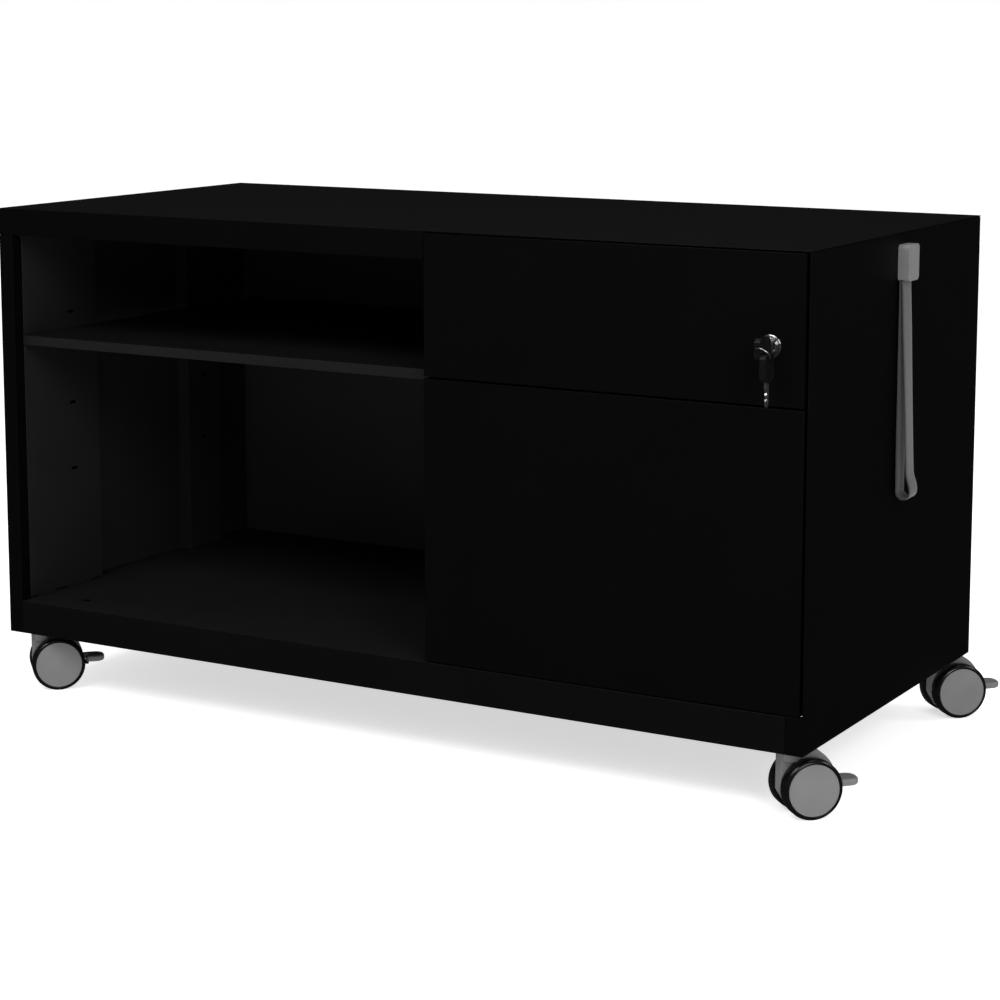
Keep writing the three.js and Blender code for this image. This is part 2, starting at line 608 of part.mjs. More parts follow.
// Castor parts are drawn with the swivel axis at x = y = 0, the wheels trailing toward +X and
// the axle along Y.
function castorHousing() {
  const { trail, wheelRadius, webHalf, webRadius, hood, faceX } = CASTOR;
  const top = UNDERSIDE - 0.5 - wheelRadius;
  const ledge = 9.5;
  const chamferEnd = Math.PI * 1.27;
  const outline = new THREE.Shape();
  outline.moveTo(faceX, top);
  outline.lineTo(faceX, -4);
  outline.absarc(0, 0, webRadius, chamferEnd, Math.PI * 2 + Math.asin(ledge / webRadius));
  outline.absarc(hood.x, 0, hood.radius, Math.asin(ledge / hood.radius), Math.asin(top / hood.radius));
  outline.lineTo(faceX, top);
  const web = extrudeAlongY(outline, -webHalf, webHalf, 9).translate(trail, 0, wheelRadius);
  const boss = cylinderAlongZ(11, 2 * wheelRadius + 0.6, UNDERSIDE - 0.5, 0, 0, 20);
  const slotHalf = 4.3;
  return cut(
    join(web, boss),
    cylinderAlongZ(CASTOR.stemRadius + 0.3, 35.7, UNDERSIDE + 1, 0, 0),
    cylinderAlongY(CASTOR.axleRadius + 0.2, -webHalf - 1, webHalf + 1, trail, wheelRadius),
    box(trail + 11, trail + 40, -slotHalf, slotHalf, wheelRadius - 9, wheelRadius + 9.5),
    cylinderAlongY(2.3, -webHalf - 1, webHalf + 1, trail + PEDAL.pivotX, wheelRadius + PEDAL.pivotZ, 12),
  );
}

function castorWheel(side) {
  const { wheelRadius: r, wheelInner: inner, wheelOuter: outer, axleRadius, trail } = CASTOR;
  const bore = axleRadius + 0.2;
  const wheel = turned(
    [[0, 20.4], [bore, 20.4], [bore, inner], [r - 2.5, inner], [r, inner + 2.5], [r, outer - 3.6],
      [r - 1, outer - 1.6], [r - 3, outer - 0.5], [0, outer]],
    28,
  );
  if (side < 0) wheel.rotateZ(Math.PI);
  return wheel.translate(trail, 0, r);
}

function castorPedal() {
  const { pivotX, pivotZ, start, tip, halfWidth, bottom, top, shank: neck } = PEDAL;
  const r = CASTOR.wheelRadius;
  const tongue = extrudeAlongZ(roundedRectangle(start, tip, -halfWidth, halfWidth, 7), bottom, top, 5);
  const shank = box(pivotX - 7, start + 2, -4, 4, neck.bottom, neck.top);
  const pin = cylinderAlongY(2, -6.4, 6.4, pivotX, pivotZ, 12);
  return join(tongue, shank, pin).translate(CASTOR.trail, 0, r);
}

function castorStem() {
  const nutBottom = UNDERSIDE + GUSSET.thickness + GAP;
  const profile = [[0, 36], [5.5, 36], [5.5, nutBottom], [9, nutBottom], [9, nutBottom + 6],
    [5, nutBottom + 6], [5, nutBottom + 14], [0, nutBottom + 14]];
  return turned(profile, 16).rotateX(Math.PI / 2);
}

function addCastors(cabinet) {
  castorPositions().forEach(([place, x, y]) => {
    const castor = new THREE.Group();
    castor.position.set(x, y, 0);
    castor.rotation.z = CASTOR.turn;
    cabinet.add(castor);
    const { trail, wheelRadius, axleRadius } = CASTOR;
    node(castor, `${place}_castor_stem`, 'steel', castorStem());
    node(castor, `${place}_castor_housing`, 'greyPlastic', castorHousing());
    node(castor, `${place}_castor_axle`, 'steel', cylinderAlongY(axleRadius, -20, 20, trail, wheelRadius));
    node(castor, `${place}_castor_outer_wheel`, 'tyre', castorWheel(-1));
    node(castor, `${place}_castor_inner_wheel`, 'tyre', castorWheel(1));
    node(castor, `${place}_castor_brake_pedal`, 'greyPlastic', castorPedal());
  });
}

// ---------------------------------------------------------------- assembly

const cabinet = new THREE.Group();
addSidePanels(cabinet);
addLinings(cabinet);
addTopPanel(cabinet);
addBasePanel(cabinet);
addBackPanel(cabinet);
addDivider(cabinet);
addShelf(cabinet);
addDrawers(cabinet);
addLock(cabinet);
addKeys(cabinet);
addStrap(cabinet);
addCastors(cabinet);
cabinet.position.set(-ORIGIN.x, -ORIGIN.y, 0);

export default cabinet;
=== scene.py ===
"""Rolling pedestal cabinet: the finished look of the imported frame.

Everything is in metres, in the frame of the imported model: x to the right, -y to the front, z up.
"""

import json
import math

import bmesh
import bpy
from mathutils import Matrix, Vector


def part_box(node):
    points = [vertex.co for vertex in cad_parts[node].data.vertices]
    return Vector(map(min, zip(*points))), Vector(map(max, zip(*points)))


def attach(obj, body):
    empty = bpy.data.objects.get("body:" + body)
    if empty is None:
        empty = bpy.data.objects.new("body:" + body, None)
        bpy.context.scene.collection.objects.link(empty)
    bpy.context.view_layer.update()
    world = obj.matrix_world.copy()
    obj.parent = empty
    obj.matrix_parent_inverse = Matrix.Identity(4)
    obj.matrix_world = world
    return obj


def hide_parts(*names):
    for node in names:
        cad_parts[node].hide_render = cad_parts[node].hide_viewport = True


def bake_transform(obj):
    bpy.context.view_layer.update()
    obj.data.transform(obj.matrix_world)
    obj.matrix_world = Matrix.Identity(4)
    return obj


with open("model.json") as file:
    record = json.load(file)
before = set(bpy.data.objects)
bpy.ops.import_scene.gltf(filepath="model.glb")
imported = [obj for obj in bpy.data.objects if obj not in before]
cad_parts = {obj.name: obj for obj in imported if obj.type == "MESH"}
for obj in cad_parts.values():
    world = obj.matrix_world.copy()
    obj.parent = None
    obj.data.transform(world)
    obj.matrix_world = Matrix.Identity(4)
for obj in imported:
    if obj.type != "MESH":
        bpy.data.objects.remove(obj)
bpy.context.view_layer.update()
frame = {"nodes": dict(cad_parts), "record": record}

MM = 0.001
SHEET = 1.2 * MM
FOLD_RADIUS = 0.55 * MM
CUT_RADIUS = 0.25 * MM
WELD = 0.002 * MM
SHARP = math.radians(20)
COPLANAR = math.radians(0.5)
SQUARE = 0.999
QUARTER_TURN = math.radians(90)

FLOOR_GLOW = 0.62
SKY = 0.5
REFLECTED_SKY = 0.035


# ------------------------------------------------------------------ materials

RECORD_COLOURS = {m["slot"]: m["base_color"] for m in frame["record"]["materials"]}
GREY = RECORD_COLOURS["grey_plastic"][0]


class Shader:
    """A Principled material under construction, with short names for the nodes it needs."""

    def __init__(self, name, colour, roughness, metallic=0.0, specular=0.5):
        self.material = bpy.data.materials.new(name)
        self.material.use_nodes = True
        self.tree = self.material.node_tree
        self.shader = self.tree.nodes["Principled BSDF"]
        self.colour = (*colour[:3], 1.0)
        self.set("Base Color", self.colour)
        self.set("Roughness", roughness)
        self.set("Metallic", metallic)
        self.set("Specular IOR Level", specular)
        self.coordinates = self.node("ShaderNodeTexCoord").outputs["Object"]

    def set(self, socket, value):
        self.shader.inputs[socket].default_value = value

    def node(self, kind, inputs=(), **settings):
        made = self.tree.nodes.new(kind)
        for key, value in settings.items():
            setattr(made, key, value)
        for key, value in dict(inputs).items():
            if isinstance(value, bpy.types.NodeSocket):
                self.tree.links.new(value, made.inputs[key])
            else:
                made.inputs[key].default_value = value
        return made

    def noise(self, scale, detail=2.0, stretch=(1, 1, 1)):
        """Noise in object space; scale is in features per metre."""
        mapping = self.node("ShaderNodeMapping", {"Vector": self.coordinates, "Scale": stretch})
        return self.node(
            "ShaderNodeTexNoise",
            {"Vector": mapping.outputs["Vector"], "Scale": scale, "Detail": detail},
        ).outputs["Fac"]

    def spread(self, factor, low, high, lowest=0.3, highest=0.7):
        """Maps a noise value onto the range from low to high."""
        return self.node(
            "ShaderNodeMapRange",
            {"Value": factor, "From Min": lowest, "From Max": highest, "To Min": low, "To Max": high},
        ).outputs["Result"]

    def shade(self, factor, darker, lighter):
        """The base colour, varied between darker and lighter multiples of itself."""
        mix = self.node("ShaderNodeMix", data_type="RGBA")
        self.tree.links.new(factor, mix.inputs["Factor"])
        mix.inputs[6].default_value = (*[c * darker for c in self.colour[:3]], 1)
        mix.inputs[7].default_value = (*[c * lighter for c in self.colour[:3]], 1)
        self.link(mix.outputs[2], "Base Color")

    def bump(self, height, distance, strength=1.0):
        """Adds a bump; a second call adds to the first."""
        inputs = {"Height": height, "Distance": distance, "Strength": strength}
        before = self.shader.inputs["Normal"].links
        if before:
            inputs["Normal"] = before[0].from_socket
        made = self.node("ShaderNodeBump", inputs)
        self.link(made.outputs["Normal"], "Normal")

    def link(self, output, socket):
        self.tree.links.new(output, self.shader.inputs[socket])


def powder_coat(name, grey):
    """Satin black powder coat: orange peel, a finer grain and a faintly uneven sheen."""
    s = Shader(name, (grey, grey, grey), 0.5, specular=0.08)
    s.link(s.spread(s.noise(9, 4), 0.49, 0.53), "Roughness")
    s.shade(s.spread(s.noise(14, 3), 0, 1), 0.94, 1.06)
    s.bump(s.noise(420, 2), 0.03 * MM, 0.35)
    s.bump(s.noise(1500, 1), 0.01 * MM, 0.3)
    return s.material


def zinc_steel():
    """Bright zinc on drawn steel: fine lines along the slide, cloudy passivation."""
    s = Shader("zinc_plated_steel", RECORD_COLOURS["zinc_steel"], 0.35, metallic=1.0)
    s.link(s.spread(s.noise(60, 3, (12, 0.4, 12)), 0.24, 0.46), "Roughness")
    s.shade(s.spread(s.noise(25, 4), 0, 1), 0.82, 1.06)
    s.bump(s.noise(900, 2, (4, 0.05, 4)), 0.01 * MM, 0.4)
    return s.material


def lock_chrome():
    """Polished chrome plate with a slightly uneven gloss."""
    s = Shader("lock_chrome", RECORD_COLOURS["lock_chrome"], 0.22, metallic=1.0)
    s.link(s.spread(s.noise(180, 4), 0.16, 0.3), "Roughness")
    s.bump(s.noise(700, 2), 0.004 * MM, 0.3)
    return s.material


def key_nickel():
    """Nickel silver blade with fine milling lines across it."""
    s = Shader("key_nickel", RECORD_COLOURS["lock_chrome"], 0.25, metallic=1.0)
    s.link(s.spread(s.noise(260, 3), 0.18, 0.36), "Roughness")
    s.bump(s.noise(1500, 1, (1, 5, 1)), 0.01 * MM, 0.5)
    return s.material


def moulded_plastic(name, grey, roughness, grain, specular=0.5):
    """Moulded plastic with a fine spark-eroded grain."""
    s = Shader(name, (grey, grey, grey), roughness, specular=specular)
    s.link(s.spread(s.noise(70, 3), roughness - 0.06, roughness + 0.08), "Roughness")
    s.shade(s.spread(s.noise(35, 3), 0, 1), 0.93, 1.05)
    s.bump(s.noise(grain, 2), 0.02 * MM, 0.4)
    return s.material


def tyre_plastic():
    """Hard, glossy black tread plastic."""
    s = Shader("castor_tyre", (0.003, 0.003, 0.003), 0.25, specular=0.4)
    s.link(s.spread(s.noise(90, 3), 0.2, 0.34), "Roughness")
    s.bump(s.noise(800, 2), 0.01 * MM, 0.3)
    return s.material


def webbing():
    """Tight polyester webbing: a fine diagonal rib across the band."""
    colour = [c * 0.45 for c in RECORD_COLOURS["grey_webbing"][:3]]
    s = Shader("grey_webbing", colour, 0.8, specular=0.25)
    s.set("Sheen Weight", 0.25)
    s.set("Sheen Roughness", 0.5)
    cloth = s.node("ShaderNodeUVMap", uv_map="cloth").outputs["UV"]
    wave = {"Vector": cloth, "Distortion": 0.5, "Detail": 2, "Detail Scale": 3}
    rib = s.node("ShaderNodeTexWave", {**wave, "Scale": 260}, bands_direction="Y").outputs["Fac"]
    warp = s.node("ShaderNodeTexWave", {**wave, "Scale": 330}, bands_direction="X").outputs["Fac"]
    woven = s.node("ShaderNodeMath", {0: rib, 1: warp}, operation="MULTIPLY").outputs["Value"]
    s.shade(s.spread(woven, 0, 1, 0.0, 0.8), 0.75, 1.15)
    s.link(s.spread(s.noise(300, 3), 0.7, 0.9), "Roughness")
    s.bump(woven, 0.12 * MM, 0.6)
    return s.material


def floor_paint():
    """A pale studio floor that glows a little, so that it stays white beside the black sheets."""
    s = Shader("pale_floor", (0.9, 0.9, 0.9), 0.7, specular=0.1)
    s.set("Emission Color", (1, 1, 1, 1))
    s.set("Emission Strength", FLOOR_GLOW)
    return s.material


POWDER = powder_coat("powder_coat_black", 0.0012)
# Lighter copies of the same black powder coat, as painted light: on the plinth and its plugs, on the bay's
# linings and divider, on the back panel's face into the bay, on the shelf and on the bay floor.
POWDER_PLINTH_PAINTED_LIGHT = powder_coat("powder_coat_black_plinth_painted_light", 0.0022)
POWDER_INSIDE_PAINTED_LIGHT = powder_coat("powder_coat_black_inside_painted_light", 0.012)
POWDER_BACK_PAINTED_LIGHT = powder_coat("powder_coat_black_back_painted_light", 0.02)
POWDER_SHELF_PAINTED_LIGHT = powder_coat("powder_coat_black_shelf_painted_light", 0.008)
POWDER_FLOOR_PAINTED_LIGHT = powder_coat("powder_coat_black_floor_painted_light", 0.011)
ZINC = zinc_steel()
CHROME = lock_chrome()
NICKEL = key_nickel()
GREY_PLASTIC = moulded_plastic("grey_moulded_plastic", GREY * 0.72, 0.45, 900)
HOLDER_PLASTIC = moulded_plastic("holder_plastic", GREY * 0.7, 0.5, 1100)
KEY_PLASTIC = moulded_plastic("key_black_plastic", 0.004, 0.35, 1200, specular=0.15)
TYRE = tyre_plastic()
WEBBING = webbing()


# ------------------------------------------------------------------ mesh helpers

def middle(node):
    """The centre of a CAD node's box."""
    low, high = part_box(node)
    return (low + high) / 2


def finish_piece(name, mesh_data, body, material, replaced=()):
    """Puts a mesh in the scene on its body, with its material, slot and the nodes it replaces."""
    piece = bpy.data.objects.new(name, mesh_data)
    bpy.context.scene.collection.objects.link(piece)
    piece.data.materials.clear()
    piece.data.materials.append(material)
    if body:
        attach(piece, body)
    if replaced:
        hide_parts(*replaced)
    return piece


def from_bmesh(bm, name, body, material, replaced=(), matrix=None):
    """A smooth-shaded piece from a bmesh, which is used up."""
    if matrix is not None:
        bm.transform(matrix)
    bmesh.ops.recalc_face_normals(bm, faces=bm.faces)
    data = bpy.data.meshes.new(name)
    bm.to_mesh(data)
    bm.free()
    for polygon in data.polygons:
        polygon.use_smooth = True
    return finish_piece(name, data, body, material, replaced)


def bevel(piece, width, segments=3, weighted=False):
    """Rounds the edges that turn by more than SHARP, or those that carry a weight."""
    modifier = piece.modifiers.new("rounded_edges", "BEVEL")
    modifier.limit_method = "WEIGHT" if weighted else "ANGLE"
    modifier.angle_limit = SHARP
    modifier.width = width
    modifier.segments = segments
    modifier.use_clamp_overlap = not weighted
    if not weighted:
        flat_faces = piece.modifiers.new("flat_faces", "WEIGHTED_NORMAL")
        flat_faces.weight = 100
        flat_faces.keep_sharp = True


def bake_folds(piece):
    """Fixes the rounded edges in the mesh, smooth along the folds and flat on the faces between."""
    bpy.context.view_layer.update()
    evaluated = piece.evaluated_get(bpy.context.evaluated_depsgraph_get())
    baked = bpy.data.meshes.new_from_object(evaluated)
    piece.modifiers.clear()
    piece.data = baked
    for polygon in baked.polygons:
        polygon.use_smooth = max(abs(c) for c in polygon.normal) < SQUARE


def face_width(face):
    """Roughly the narrow side of a face: its area over its longest edge."""
    return face.calc_area() / max(edge.calc_length() for edge in face.edges)


def weigh_sheet_edges(bm):
    """Marks the edges of a sheet-metal piece: 1 where the sheet is folded, less where it is cut."""
    weights = bm.edges.layers.float.new("bevel_weight_edge")
    thin = {face: face_width(face) < 1.4 * SHEET for face in bm.faces}
    for edge in bm.edges:
        if len(edge.link_faces) != 2 or edge.calc_face_angle(0) < SHARP:
            continue
        folded = edge.is_convex and not any(thin[face] for face in edge.link_faces)
        edge[weights] = 1.0 if folded else CUT_RADIUS / FOLD_RADIUS


def refined(node, name, body, material, sheet=True, width=0.3 * MM):
    """A CAD node's own shape with its flat faces joined up and its edges rounded."""
    bm = bmesh.new()
    bm.from_mesh(frame["nodes"][node].data)
    bmesh.ops.remove_doubles(bm, verts=bm.verts, dist=WELD)
    bmesh.ops.dissolve_limit(bm, angle_limit=COPLANAR, verts=bm.verts, edges=bm.edges)
    bmesh.ops.recalc_face_normals(bm, faces=bm.faces)
    if sheet:
        weigh_sheet_edges(bm)
    piece = from_bmesh(bm, name, body, material, (node,))
    bevel(piece, FOLD_RADIUS if sheet else width, weighted=sheet)
    if sheet:
        bake_folds(piece)
    return piece


def ring_of(bm, radius, y, segments):
    """A ring of vertices about +y, or one vertex where the radius is nothing."""
    if radius == 0:
        return [bm.verts.new((0, y, 0))]
    turns = [2 * math.pi * i / segments for i in range(segments)]
    return [bm.verts.new((radius * math.cos(t), y, radius * math.sin(t))) for t in turns]


def lathed(profile, segments=96):
    """A body of revolution about +y; the profile is a closed ring of (radius, y)."""
    bm = bmesh.new()
    rings = [ring_of(bm, radius, y, segments) for radius, y in profile]
    for a, b in zip(rings, rings[1:] + rings[:1]):
        for i in range(segments):
            j = (i + 1) % segments
            corners = [a[i % len(a)], a[j % len(a)], b[j % len(b)], b[i % len(b)]]
            distinct = list(dict.fromkeys(corners))
            if len(distinct) > 2:
                bm.faces.new(distinct)
    return bm


def rounded_profile(corners, steps=6):
    """A closed outline of (a, b, radius) corners, each rounded off with an arc of its radius."""
    outline = []
    for i, (a, b, radius) in enumerate(corners):
        here = Vector((a, b))
        before = (Vector(corners[i - 1][:2]) - here).normalized()
        after = (Vector(corners[(i + 1) % len(corners)][:2]) - here).normalized()
        if radius == 0:
            outline.append((a, b))
            continue
        half = math.acos(max(-1.0, min(1.0, before.dot(after)))) / 2
        reach = radius / math.tan(half)
        centre = here + (before + after).normalized() * (radius / math.sin(half))
        start, end = here + before * reach - centre, here + after * reach - centre
        sweep = start.angle_signed(end)
        for k in range(steps + 1):
            turned = Matrix.Rotation(-sweep * k / steps, 2) @ start
            outline.append(tuple(centre + turned))
    return outline


def prism(outline, low, high):
    """A closed solid: an outline of (x, z) points drawn out along y from low to high."""
    bm = bmesh.new()
    near = [bm.verts.new((a, low, b)) for a, b in outline]
    far = [bm.verts.new((a, high, b)) for a, b in outline]
    bm.faces.new(near)
    bm.faces.new(list(reversed(far)))
    for i in range(len(outline)):
        j = (i + 1) % len(outline)
        bm.faces.new((near[j], near[i], far[i], far[j]))
    return bm


def block(x0, x1, y0, y1, z0, z1):
    """A box between the given planes."""
    return prism([(x0, z0), (x1, z0), (x1, z1), (x0, z1)], y0, y1)


def rod(radius, low, high, segments=32):
    """A cylinder along y, used to drill holes."""
    return lathed([(0, low), (radius, low), (radius, high), (0, high)], segments)


def hollowed(bm, *tools):
    """Takes each tool's solid out of a solid; all are bmeshes in the same local frame."""
    base = bpy.data.meshes.new("solid")
    bmesh.ops.recalc_face_normals(bm, faces=bm.faces)
    bm.to_mesh(base)
    bm.free()
    solid = bpy.data.objects.new("solid", base)
    bpy.context.scene.collection.objects.link(solid)
    cutters = []
    for tool in tools:
        bmesh.ops.recalc_face_normals(tool, faces=tool.faces)
        data = bpy.data.meshes.new("cutter")
        tool.to_mesh(data)
        tool.free()
        cutter = bpy.data.objects.new("cutter", data)
        bpy.context.scene.collection.objects.link(cutter)
        difference = solid.modifiers.new("cut", "BOOLEAN")
        difference.object = cutter
        difference.solver = "EXACT"
        cutters.append(cutter)
    bpy.context.view_layer.update()
    evaluated = solid.evaluated_get(bpy.context.evaluated_depsgraph_get())
    result = bmesh.new()
    result.from_mesh(evaluated.to_mesh())
    bmesh.ops.remove_doubles(result, verts=result.verts, dist=WELD)
    for leftover in (solid, *cutters):
        data = leftover.data
        bpy.data.objects.remove(leftover)
        bpy.data.meshes.remove(data)
    return result


# ------------------------------------------------------------------ sheet-metal carcass and drawers

# Each sheet's coat; every coat here other than POWDER is a lighter copy of it, as painted light.
CARCASS = {
    "left_side_panel": POWDER, "right_side_panel": POWDER, "top_panel": POWDER,
    "left_inner_lining": POWDER_INSIDE_PAINTED_LIGHT, "right_inner_lining": POWDER_INSIDE_PAINTED_LIGHT, "shelf": POWDER_SHELF_PAINTED_LIGHT,
    "back_panel": POWDER, "divider_panel": POWDER_INSIDE_PAINTED_LIGHT, "base_panel": POWDER_PLINTH_PAINTED_LIGHT,
}
# Faces that turn towards the bay, the bay floor and the back panel's front face, get a still lighter copy
# of the coat as painted light.
PAINTED_LIGHT_FACING_THE_BAY = {
    "base_panel": (POWDER_FLOOR_PAINTED_LIGHT, Vector((0, 0, 1))),
    "back_panel": (POWDER_BACK_PAINTED_LIGHT, Vector((0, -1, 0))),
}


def build_sheet_metal():
    """The folded sheets of the carcass and the drawers, in powder coat; the plinth, the bay's insides and
    the faces into the bay take lighter copies of it as painted light.
    """
    for node, coat in CARCASS.items():
        piece = refined(node, f"{node}_sheet", "cabinet", coat)
        if node in PAINTED_LIGHT_FACING_THE_BAY:
            painted_light_coat, direction = PAINTED_LIGHT_FACING_THE_BAY[node]
            piece.data.materials.append(painted_light_coat)
            for polygon in piece.data.polygons:
                polygon.material_index = int(polygon.normal.dot(direction) > 0.9)
    for drawer in ("upper_drawer", "lower_drawer"):
        for part in ("front", "tray"):
            node = f"{drawer}_{part}"
            refined(node, f"{node}_sheet", drawer, POWDER)


def build_hardware():
    """Slides, shelf clips, lock bar and cam: the CAD shapes with their edges rounded."""
    zinc = [("lock_cam", "lock_plug"), ("lock_bar", "lock_bar")]
    for side in ("left", "right"):
        zinc += [
            (f"upper_slide_cabinet_rail_{side}", "cabinet"),
            (f"lower_slide_cabinet_rail_{side}", "cabinet"),
            (f"upper_slide_drawer_rail_{side}", "upper_drawer"),
            (f"lower_slide_drawer_rail_{side}", "lower_drawer"),
            (f"lower_slide_middle_member_{side}", "lower_slide_middle"),
            (f"shelf_clip_front_{side}", "cabinet"),
            (f"shelf_clip_rear_{side}", "cabinet"),
        ]
    for node, body in zinc:
        refined(node, f"{node}_finished", body, ZINC, sheet=False)


PLUG = {
    "inner": 18.5 * MM, "outer": 1.7 * MM,
    "behind": (1.3 * MM, 13.9 * MM), "height": (2.1 * MM, 32.6 * MM),
}


def build_plinth_plugs():
    """The plugs in the plinth's two ends, which keep the light out behind the side flanges."""
    left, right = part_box("left_side_panel")[0].x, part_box("right_side_panel")[1].x
    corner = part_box("base_panel")[0]
    ends = {"left": (left + PLUG["outer"], left + PLUG["inner"]),
            "right": (right - PLUG["inner"], right - PLUG["outer"])}
    depth = [corner.y + y for y in PLUG["behind"]]
    height = [corner.z + z for z in PLUG["height"]]
    for side, (low, high) in ends.items():
        plug = block(low, high, *depth, *height)
        # The plugs take the plinth's lighter coat, which is painted light.
        piece = from_bmesh(plug, f"plinth_plug_{side}", "cabinet", POWDER_PLINTH_PAINTED_LIGHT)
        bevel(piece, 0.3 * MM, 2)


# ------------------------------------------------------------------ lock and keys

BOW = {"length": 24 * MM, "height": 19.5 * MM, "thickness": 5.6 * MM, "shoulder": 3 * MM}
HOLE = {"from_end": 5 * MM, "below": 6.5 * MM, "radius": 2.4 * MM}
RING = {"radius": 7.5 * MM, "wire": 0.55 * MM, "centre": 5.65 * MM}
BLADE = {"length": 19 * MM, "half_height": 3 * MM, "half_width": 1.05 * MM}


def lock_matrix():
    """The lock's own frame: origin on its axis in the plane of the drawer front, y into the cabinet."""
    axis = middle("lock_barrel")
    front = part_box("upper_drawer_front")[0].y
    return Matrix.Translation((axis.x, front, axis.z))


def build_lock():
    """The chrome bezel of the barrel and the plug with its keyway; profiles are (radius, y) in mm."""
    place = lock_matrix()
    bezel = [
        (6.35, 20), (6.35, -1.5), (6.6, -1.85), (7.2, -1.95), (7.5, -1.6), (7.7, -1.15),
        (8.5, -1.15), (8.75, -1.75), (9.15, -2.15), (9.75, -2.15), (10.2, -1.9), (10.4, -1.35),
        (10.4, -0.3), (9.3, -0.3), (9.3, 20),
    ]
    barrel = from_bmesh(
        lathed([(r * MM, y * MM) for r, y in bezel]),
        "lock_bezel", "upper_drawer", CHROME, ("lock_barrel",), place,
    )
    bevel(barrel, 0.08 * MM, 2)

    face = [(0, -1.5), (4.9, -1.5), (5.3, -1.8), (5.75, -1.8), (6, -1.5), (6, 22.5), (0, 22.5)]
    keyway = block(-1.35 * MM, 1.35 * MM, -5 * MM, 21 * MM, -4.3 * MM, 4.3 * MM)
    plug = hollowed(lathed([(r * MM, y * MM) for r, y in face]), keyway)
    core = from_bmesh(plug, "lock_core", "lock_plug", CHROME, ("lock_plug",), place)
    bevel(core, 0.1 * MM, 2)


def key_bow(hole_height):
    """A moulded bow in the plane x = 0 with a ring hole and a shallow thumb rest on each side."""
    far, near = -BOW["length"] - BOW["shoulder"], -BOW["shoulder"]
    half, thick = BOW["height"] / 2, BOW["thickness"] / 2
    waist = 5 * MM
    corners = [
        (far, -half, 5 * MM), (near - 5 * MM, -half, 4.5 * MM), (near, -waist, 1.5 * MM),
        (near, waist, 1.5 * MM), (near - 5 * MM, half, 4.5 * MM), (far, half, 5 * MM),
    ]
    to_key_plane = Matrix.Rotation(QUARTER_TURN, 4, "Z")
    body = prism(rounded_profile(corners), -thick, thick)
    body.transform(to_key_plane)
    hole = rod(HOLE["radius"], -5 * MM, 5 * MM)
    hole.transform(Matrix.Translation((0, far + HOLE["from_end"], hole_height)) @ to_key_plane)
    inset, depth = 2.8 * MM, 0.5 * MM
    rest = [
        (far + 10.5 * MM, -half + inset, 2.5 * MM), (near - inset, -half + inset, 2.5 * MM),
        (near - inset, half - inset, 2.5 * MM), (far + 10.5 * MM, half - inset, 2.5 * MM),
    ]
    rests = []
    for side in (-1, 1):
        pocket = prism(rounded_profile(rest), side * (thick - depth), side * (thick + depth))
        pocket.transform(to_key_plane)
        rests.append(pocket)
    return hollowed(body, hole, *rests)


def key_blade():
    """A nickel blade along +y with a stepped shoulder, a groove and cuts along its lower edge."""
    half, tip = BLADE["half_height"], BLADE["length"]
    depths = [0.5, 1.6, 0.9, 1.9, 0.7, 1.3]
    pitch = 2.6 * MM
    lower = [(-2.6 * MM, -half), (2.2 * MM, -half)]
    for i, depth in enumerate(depths):
        start = 2.9 * MM + i * pitch
        lower += [(start, -half + depth * MM), (start + 0.45 * pitch, -half + depth * MM)]
    outline = lower + [(tip, -0.6 * MM), (tip, 0.6 * MM), (tip - 2.4 * MM, half), (-2.6 * MM, half)]
    flat = prism(outline, -BLADE["half_width"], BLADE["half_width"])
    flat.transform(Matrix.Rotation(QUARTER_TURN, 4, "Z"))
    groove = block(0.65 * MM, 2 * MM, -0.4 * MM, tip + MM, -0.2 * MM, 1.3 * MM)
    return hollowed(flat, groove)


def build_key(node, body, matrix, hole_height):
    """A black bow and a nickel blade in the key's own frame: the blade starts at the origin."""
    bow = from_bmesh(
        key_bow(hole_height), f"{node}_bow", body, KEY_PLASTIC, (node,), matrix)
    bevel(bow, 1.1 * MM, 4)
    blade = from_bmesh(key_blade(), f"{node}_blade", body, NICKEL, (), matrix)
    bevel(blade, 0.15 * MM, 2)


def build_keys():
    """The key in the lock, the spare that hangs beside it, and the ring that joins them."""
    low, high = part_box("key")
    spare_low, spare_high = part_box("spare_key")
    in_lock = Vector(((low.x + high.x) / 2, high.y - BLADE["length"], (low.z + high.z) / 2))
    hole_y = -BOW["length"] - BOW["shoulder"] + HOLE["from_end"]
    ring_hole = in_lock + Vector((0, hole_y, -HOLE["below"]))
    build_key("key", "key", Matrix.Translation(in_lock), -HOLE["below"])
    hanging = Vector(((spare_low.x + spare_high.x) / 2, ring_hole.y, spare_low.z + BLADE["length"]))
    turned = Matrix.Translation(hanging) @ Matrix.Rotation(-QUARTER_TURN, 4, "X")
    build_key("spare_key", "spare_key", turned, 0)
    build_ring(ring_hole, Vector((hanging.x, hanging.y, spare_high.z - HOLE["from_end"])))


def build_ring(first, second):
    """The wire ring through both bows' holes, standing forward and up past their ends."""
    across = (second - first).normalized()
    out = Vector((0, -0.9, 1))
    out = (out - across * out.dot(across)).normalized()
    side = across.cross(out)
    centre = (first + second) / 2 + out * RING["centre"]
    bm = bmesh.new()
    loops = []
    for i in range(64):
        turn = 2 * math.pi * i / 64
        spoke = across * math.cos(turn) + out * math.sin(turn)
        loops.append([
            bm.verts.new(centre + spoke * RING["radius"]
                         + (spoke * math.cos(t) + side * math.sin(t)) * RING["wire"])
            for t in (2 * math.pi * k / 12 for k in range(12))
        ])
    for i, loop in enumerate(loops):
        following = loops[(i + 1) % len(loops)]
        for k in range(12):
            j = (k + 1) % 12
            bm.faces.new((loop[k], loop[j], following[j], following[k]))
    from_bmesh(bm, "key_ring", "spare_key", NICKEL)


# ------------------------------------------------------------------ strap handle

